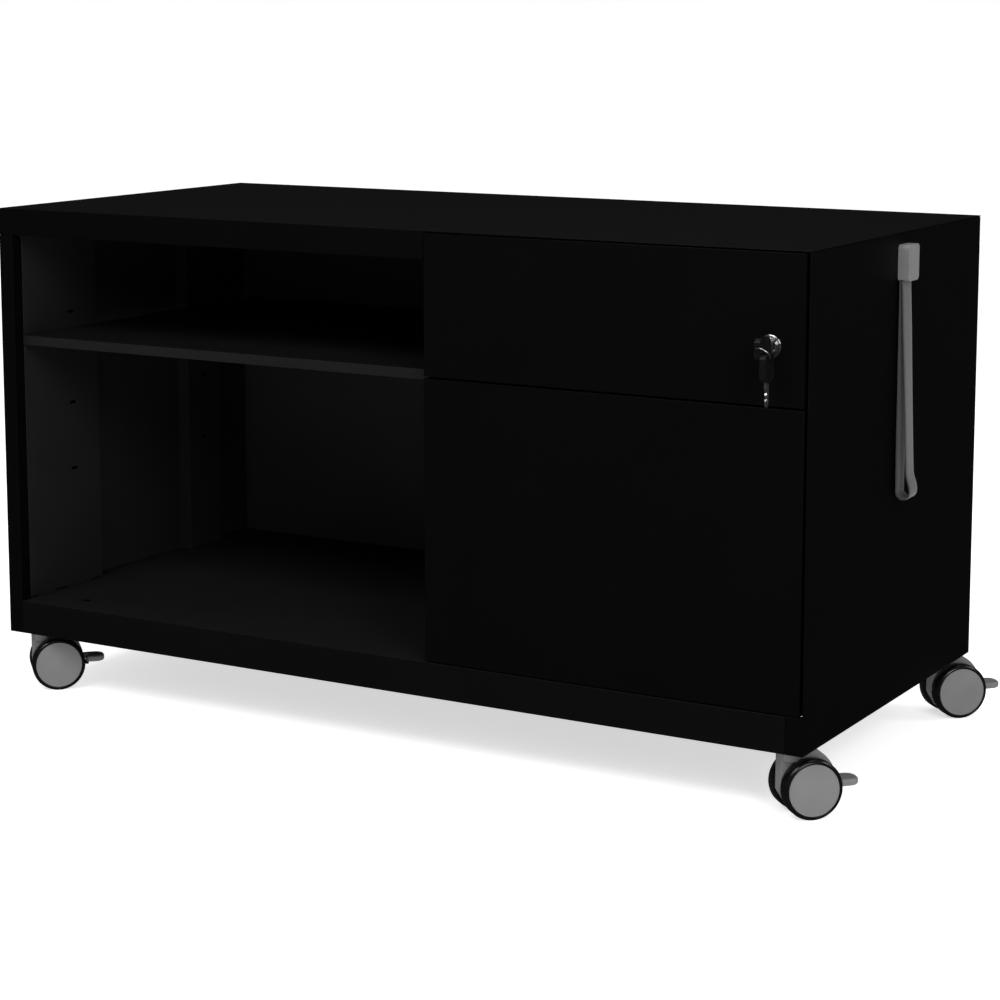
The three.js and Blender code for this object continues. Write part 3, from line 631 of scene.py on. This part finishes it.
WEBBING_WIDTH = 22 * MM
WEBBING_THICKNESS = 1.6 * MM
STRAP_TWIST = math.radians(3)


def bezier(start, start_handle, end_handle, end, steps):
    """The points of a cubic curve after its start."""
    points = []
    for i in range(1, steps + 1):
        t, u = i / steps, 1 - i / steps
        points.append(
            start * u ** 3 + start_handle * 3 * u * u * t + end_handle * 3 * u * t * t + end * t ** 3)
    return points


def strap_path():
    """The middle line of the webbing in (x, z): down the panel, round the fold and up again."""
    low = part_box("strap_loop")[0]
    into_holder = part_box("strap_holder")[0].z + 3 * MM
    back = low.x + WEBBING_THICKNESS / 2
    radius = 6.65 * MM
    centre = Vector((back + radius, low.z + radius + WEBBING_THICKNESS / 2))
    points = [Vector((back, into_holder + (centre.y - into_holder) * i / 40)) for i in range(40)]
    for i in range(25):
        turn = math.pi + math.pi * i / 24
        points.append(centre + radius * Vector((math.cos(turn), math.sin(turn))))
    belly = points[-1]
    neck = Vector((back + 9.3 * MM, low.z + 27 * MM))
    top = Vector((back + 1.9 * MM, into_holder))
    points += bezier(
        belly, belly + Vector((0, 7.5 * MM)), neck + Vector((0.4 * MM, -8 * MM)), neck, 14)
    points += bezier(
        neck, neck + Vector((-2.5 * MM, 60 * MM)), top + Vector((2.6 * MM, -60 * MM)), top, 46)
    return points


def build_strap():
    """A band of webbing, thicker in the middle than at its woven edges, with a slight twist below."""
    path = strap_path()
    middle_y = middle("strap_loop").y
    lengths = [0.0]
    for a, b in zip(path, path[1:]):
        lengths.append(lengths[-1] + (b - a).length)
    total = lengths[-1]
    across = [-1, -0.94, -0.8, -0.4, 0, 0.4, 0.8, 0.94, 1]
    bm = bmesh.new()
    cloth = bm.loops.layers.uv.new("cloth")
    sections, places = [], {}
    for i, point in enumerate(path):
        before, after = path[max(i - 1, 0)], path[min(i + 1, len(path) - 1)]
        tangent = (after - before).normalized()
        outward = Vector((-tangent.y, tangent.x))
        share = lengths[i] / total
        twist = STRAP_TWIST * max(0.0, math.sin(math.pi * (share - 0.38) / 0.5)) if share < 0.88 else 0.0
        rim = []
        for side in (1, -1):
            order = across if side > 0 else list(reversed(across))
            for a in order:
                thin = 1.0 if abs(a) < 0.9 else (0.72 if abs(a) < 1 else 0.3)
                shift = side * thin * WEBBING_THICKNESS / 2
                y = a * WEBBING_WIDTH / 2
                x = point.x + outward.x * shift - math.sin(twist) * y
                vertex = bm.verts.new((x, middle_y + y * math.cos(twist), point.y + outward.y * shift))
                places[vertex] = (y, lengths[i])
                rim.append(vertex)
        sections.append(rim)
    for a, b in zip(sections, sections[1:]):
        for k in range(len(a)):
            j = (k + 1) % len(a)
            bm.faces.new((a[k], a[j], b[j], b[k]))
    bm.faces.new(list(reversed(sections[0])))
    bm.faces.new(sections[-1])
    for face in bm.faces:
        for loop in face.loops:
            loop[cloth].uv = places[loop.vert]
    strap = from_bmesh(bm, "webbing_strap", None, WEBBING, ("strap_loop",))
    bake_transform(strap)


def build_holder():
    """A moulded pocket with soft outer corners and a slot below for the webbing."""
    low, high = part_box("strap_holder")
    corner = 4 * MM
    outline = rounded_profile([
        (low.y, low.z, corner), (high.y, low.z, corner), (high.y, high.z, corner), (low.y, high.z, corner),
    ], 8)
    shell = prism(outline, low.x, high.x)
    shell.transform(Matrix(((0, 1, 0, 0), (1, 0, 0, 0), (0, 0, 1, 0), (0, 0, 0, 1))))
    half = WEBBING_WIDTH / 2 + 0.4 * MM
    mid, back = middle("strap_loop").y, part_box("strap_loop")[0].x
    slot = block(back - 0.4 * MM, back + 4.6 * MM, mid - half, mid + half, low.z - MM, low.z + 12 * MM)
    holder = from_bmesh(
        hollowed(shell, slot), "strap_holder_moulding", "cabinet", HOLDER_PLASTIC,
        ("strap_holder",))
    bevel(holder, 1.1 * MM, 4)


# ------------------------------------------------------------------ castors

CASTOR_PLACES = ("front_left", "front_right", "rear_left", "rear_right")
CASTOR_TURN = math.radians(45)
WHEEL_RADIUS = 27.5 * MM
TRAIL = 15.3 * MM
TYRE_PROFILE = [
    (3.3, 7.6), (7.4, 7.6), (8.2, 9.2), (20.6, 9.2), (21.6, 7.7), (24.6, 7.2), (26.2, 7.7), (27.2, 9.0),
    (27.5, 10.8), (27.5, 20.0), (26.9, 20.7), (26.2, 21.4), (25.3, 22.1), (24.4, 22.3), (24.0, 21.9),
    (23.9, 20.9), (0, 20.9), (0, 20.4), (3.3, 20.4),
]
DISC_PROFILE = [
    (0, 21.0), (23.7, 21.0), (23.7, 22.1), (23.5, 22.45), (23.1, 22.6), (22.65, 22.45), (22.45, 22.2),
    (0, 22.2),
]


def castor_matrix(place):
    """A castor's own frame: its swivel axis up from the floor, x towards the trailing wheels."""
    axis = middle(f"{place}_castor_stem")
    return Matrix.Translation((axis.x, axis.y, 0)) @ Matrix.Rotation(CASTOR_TURN, 4, "Z")


def build_wheels(place, frame_matrix):
    """Two black tyres and their grey disc covers, mirrored about the castor's middle plane."""
    hub = frame_matrix @ Matrix.Translation((TRAIL, 0, WHEEL_RADIUS))
    for name, side in (("outer", -1), ("inner", 1)):
        body, node = f"{place}_{name}_wheel", f"{place}_castor_{name}_wheel"
        tyre = [(r * MM, side * y * MM) for r, y in TYRE_PROFILE]
        disc = [(r * MM, side * y * MM) for r, y in DISC_PROFILE]
        from_bmesh(lathed(tyre, 128), f"{node}_tyre", body, TYRE, (node,), hub)
        cover = from_bmesh(lathed(disc, 128), f"{node}_disc", body, GREY_PLASTIC, (), hub)
        bevel(cover, 0.1 * MM, 2)


def build_housing(place, frame_matrix):
    """The D-shaped web between the wheels, its hood behind them, and the boss that turns on the stem."""
    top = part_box(f"{place}_castor_housing")[1].z
    hood, hood_x, web, face, ledge = 37 * MM, -9.7 * MM, 25.5 * MM, -25.9 * MM, 9.5 * MM
    rise = top - WHEEL_RADIUS
    outline = [(face, rise), (face, -4 * MM)]
    outline += arc(web, 1.27 * math.pi, 2 * math.pi + math.asin(ledge / web), 40)
    hood_arc = arc(hood, math.asin(ledge / hood), math.asin(rise / hood), 18)
    outline += [(hood_x + x, z) for x, z in hood_arc]
    half = 6.8 * MM
    body = prism(outline, -half, half)
    slot = block(11 * MM, 40 * MM, -4.3 * MM, 4.3 * MM, -9 * MM, 9.5 * MM)
    shape = hollowed(body, slot, rod(3.2 * MM, -10 * MM, 10 * MM))
    hub = frame_matrix @ Matrix.Translation((TRAIL, 0, WHEEL_RADIUS))
    web_piece = from_bmesh(
        shape, f"{place}_castor_web", f"{place}_castor", GREY_PLASTIC,
        (f"{place}_castor_housing",), hub)
    bevel(web_piece, 0.9 * MM, 3)
    low = 2 * WHEEL_RADIUS - 4 * MM
    boss_profile = [
        (5.9 * MM, low), (10.2 * MM, low), (11 * MM, low + MM), (11 * MM, top - 0.9 * MM),
        (10.3 * MM, top), (5.9 * MM, top),
    ]
    boss = from_bmesh(
        lathed(boss_profile, 64), f"{place}_castor_boss", f"{place}_castor", GREY_PLASTIC,
        (), frame_matrix @ Matrix.Rotation(QUARTER_TURN, 4, "X"))
    bevel(boss, 0.2 * MM, 2)


def arc(radius, start, end, steps):
    """Points on a circle about the origin, from one angle to another."""
    turns = [start + (end - start) * i / steps for i in range(steps + 1)]
    return [(radius * math.cos(t), radius * math.sin(t)) for t in turns]


def build_pedal(place, frame_matrix):
    """A rounded tongue to step on, its shank into the housing, and a small black stop at its root."""
    hub = frame_matrix @ Matrix.Translation((TRAIL, 0, WHEEL_RADIUS))
    upright = Matrix.Rotation(QUARTER_TURN, 4, "X")
    start, tip, half, low, high = 29.5 * MM, 49 * MM, 11 * MM, -2.3 * MM, 4.1 * MM
    tread = prism(rounded_profile([
        (start, -half, 3 * MM), (tip, -half, 9.5 * MM), (tip, half, 9.5 * MM), (start, half, 3 * MM),
    ], 10), low, high)
    tread.transform(upright)
    name, body = f"{place}_castor_brake_pedal", f"{place}_pedal"
    pedal = from_bmesh(tread, f"{name}_tongue", body, GREY_PLASTIC, (name,), hub)
    bevel(pedal, 2.2 * MM, 6)
    shank = from_bmesh(block(15 * MM, start + 3 * MM, -4 * MM, 4 * MM, 0, 5.5 * MM),
                       f"{name}_shank", body, GREY_PLASTIC, (), hub)
    bevel(shank, 0.6 * MM, 3)
    pin = from_bmesh(rod(2 * MM, -6.4 * MM, 6.4 * MM), f"{name}_pin", body, ZINC, (),
                     hub @ Matrix.Translation((22 * MM, 0, 3 * MM)))
    bevel(pin, 0.2 * MM, 2)
    lug = from_bmesh(block(start - 0.9 * MM, start + 2.6 * MM, -9 * MM, -1 * MM, -4.6 * MM, -0.8 * MM),
                     f"{name}_lug", body, TYRE, (), hub)
    bevel(lug, 0.7 * MM, 3)


def build_stem(place, frame_matrix):
    """The turned stem, its nut above the base plate, and the wheels' axle."""
    low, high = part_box(f"{place}_castor_stem")
    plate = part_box("base_panel")[0].z + 2.3 * MM
    profile = [
        (0, low.z), (5.1 * MM, low.z), (5.5 * MM, low.z + 0.4 * MM), (5.5 * MM, plate), (5 * MM, plate),
        (5 * MM, high.z - 0.6 * MM), (4.4 * MM, high.z), (0, high.z),
    ]
    stem = from_bmesh(
        lathed(profile, 48), f"{place}_castor_stem_turned", "cabinet", ZINC,
        (f"{place}_castor_stem",), frame_matrix @ Matrix.Rotation(QUARTER_TURN, 4, "X"))
    bevel(stem, 0.15 * MM, 2)
    nut = prism(arc(9 * MM, 0, 5 * math.pi / 3, 5), -plate - 6 * MM, -plate)
    piece = from_bmesh(nut, f"{place}_castor_nut", "cabinet", ZINC, (),
                       frame_matrix @ Matrix.Rotation(-QUARTER_TURN, 4, "X"))
    bevel(piece, 0.6 * MM, 3)
    axle = from_bmesh(
        rod(3 * MM, -20 * MM, 20 * MM), f"{place}_castor_axle_turned", f"{place}_castor", ZINC,
        (f"{place}_castor_axle",), frame_matrix @ Matrix.Translation((TRAIL, 0, WHEEL_RADIUS)))
    bevel(axle, 0.3 * MM, 2)


def build_castors():
    for place in CASTOR_PLACES:
        frame_matrix = castor_matrix(place)
        build_wheels(place, frame_matrix)
        build_housing(place, frame_matrix)
        build_pedal(place, frame_matrix)
        build_stem(place, frame_matrix)


build_sheet_metal()
build_hardware()
build_plinth_plugs()
build_lock()
build_keys()
build_strap()
build_holder()
build_castors()


# ------------------------------------------------------------------ stage

def build_floor():
    """A plain floor far larger than the view."""
    bm = bmesh.new()
    bmesh.ops.create_grid(bm, x_segments=1, y_segments=1, size=60)
    data = bpy.data.meshes.new("floor")
    bm.to_mesh(data)
    bm.free()
    floor = bpy.data.objects.new("floor", data)
    floor.data.materials.append(floor_paint())
    floor.visible_glossy = False
    bpy.context.scene.collection.objects.link(floor)


def area_light(name, position, target, size, power):
    """A rectangular soft box at a position, aimed at a target."""
    light = bpy.data.lights.new(name, "AREA")
    light.shape = "RECTANGLE"
    light.size, light.size_y = size
    light.energy = power
    lamp = bpy.data.objects.new(name, light)
    lamp.location = position
    lamp.rotation_euler = (Vector(target) - Vector(position)).to_track_quat("-Z", "Y").to_euler()
    bpy.context.scene.collection.objects.link(lamp)


def build_world():
    """White to the camera, softer as light, and nearly dark in reflections, as black flags make it."""
    world = bpy.data.worlds.new("studio")
    bpy.context.scene.world = world
    world.use_nodes = True
    nodes, links = world.node_tree.nodes, world.node_tree.links
    background = nodes["Background"]
    background.inputs["Color"].default_value = (1, 1, 1, 1)
    rays = nodes.new("ShaderNodeLightPath")
    strength = None
    for ray, value in (("Is Camera Ray", 1 - SKY), ("Is Glossy Ray", REFLECTED_SKY - SKY)):
        term = nodes.new("ShaderNodeMath")
        term.operation = "MULTIPLY_ADD"
        term.inputs[1].default_value = value
        term.inputs[2].default_value = SKY
        links.new(rays.outputs[ray], term.inputs[0])
        if strength:
            links.new(strength, term.inputs[2])
        strength = term.outputs[0]
    links.new(strength, background.inputs["Strength"])


def build_stage():
    build_floor()
    build_world()
    area_light("rear_right_box", (3.0, 1.5, 2.3), (0.45, 0, 0.3), (1.2, 1.2), 19)
    area_light("front_right_box", (2.6, -2.2, 1.9), (0, 0, 0.25), (1.4, 1.4), 50)
    area_light("front_high_box", (-0.3, -2.5, 2.8), (-0.1, 0, 0.25), (1.8, 1.2), 45)
    area_light("overhead_box", (0, 0.3, 3.0), (0, 0, 0.5), (2.4, 1.6), 20)


def build_camera():
    """A long lens 30 degrees round from the front, looking a little down, as in the studio view."""
    data = bpy.data.cameras.new("camera")
    data.sensor_width = 36
    data.lens = 91.53
    data.shift_x = -0.004
    data.shift_y = -0.127
    camera = bpy.data.objects.new("camera", data)
    camera.location = (1.2891, -2.195, 0.7177)
    camera.rotation_euler = (math.radians(90 - 8.37), 0, math.radians(30.13))
    bpy.context.scene.collection.objects.link(camera)
    bpy.context.scene.camera = camera


build_camera()
build_stage()
bpy.context.scene.view_settings.view_transform = "Standard"
